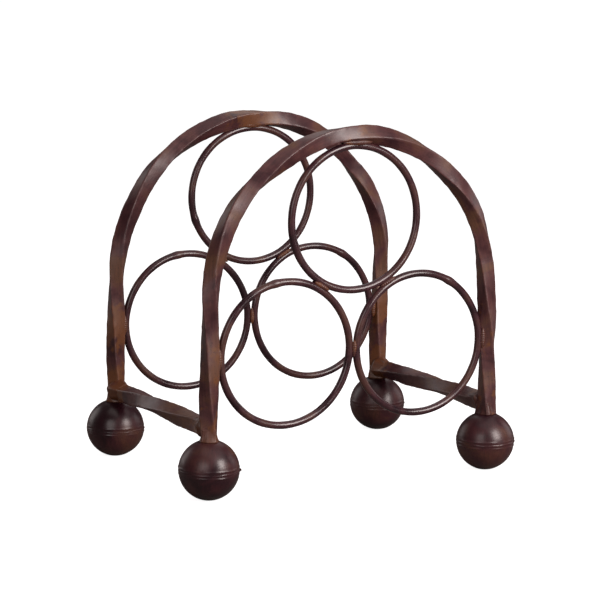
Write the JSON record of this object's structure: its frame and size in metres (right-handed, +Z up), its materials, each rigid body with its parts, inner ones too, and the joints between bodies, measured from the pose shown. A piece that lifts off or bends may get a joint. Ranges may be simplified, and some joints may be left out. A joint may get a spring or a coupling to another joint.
{
  "type": "wine rack",
  "caption": "Table-top wrought-iron wine rack: two twisted-bar arches on ball feet, each holding welded wire rings that carry bottles lying down.",
  "frame": {"origin": "on the floor under the middle of the rack, where the four balls stand", "axes": "+X to the rack's right seen from the front, across the arches; +Y from the front frame to the back frame, along the bottles; +Z up"},
  "size_m": [0.2522, 0.1888, 0.2408],
  "materials": {
    "square_bar": "antique burgundy-brown lacquer on twisted square bar, satin",
    "ring_wire": "antique burgundy-brown lacquer on round rod, satin",
    "ball_shell": "dark burgundy lacquer on pressed steel, semi-gloss",
    "ball_seam": "lacquer over a rough weld bead, semi-gloss",
    "weld_metal": "lacquer over weld, rust-brown, satin"
  },
  "bodies": {
    "root": {"front_arch": "square_bar", "back_arch": "square_bar", "left_stretcher": "square_bar", "right_stretcher": "square_bar", "front_top_ring": "ring_wire", "front_ring_arch_weld_top": "weld_metal", "front_left_ring": "ring_wire", "front_ring_arch_weld_left": "weld_metal", "front_right_ring": "ring_wire", "front_ring_arch_weld_right": "weld_metal", "front_rings_weld_bottom": "weld_metal", "front_rings_weld_left": "weld_metal", "front_rings_weld_right": "weld_metal", "front_left_ball_upper": "ball_shell", "front_left_ball_lower": "ball_shell", "front_left_ball_seam": "ball_seam", "front_left_foot_weld": "weld_metal", "front_left_stretcher_weld": "weld_metal", "front_right_ball_upper": "ball_shell", "front_right_ball_lower": "ball_shell", "front_right_ball_seam": "ball_seam", "front_right_foot_weld": "weld_metal", "front_right_stretcher_weld": "weld_metal", "back_top_ring": "ring_wire", "back_ring_arch_weld_top": "weld_metal", "back_left_ring": "ring_wire", "back_ring_arch_weld_left": "weld_metal", "back_right_ring": "ring_wire", "back_ring_arch_weld_right": "weld_metal", "back_rings_weld_bottom": "weld_metal", "back_rings_weld_left": "weld_metal", "back_rings_weld_right": "weld_metal", "back_left_ball_upper": "ball_shell", "back_left_ball_lower": "ball_shell", "back_left_ball_seam": "ball_seam", "back_left_foot_weld": "weld_metal", "back_left_stretcher_weld": "weld_metal", "back_right_ball_upper": "ball_shell", "back_right_ball_lower": "ball_shell", "back_right_ball_seam": "ball_seam", "back_right_foot_weld": "weld_metal", "back_right_stretcher_weld": "weld_metal"}
  },
  "joints": []
}
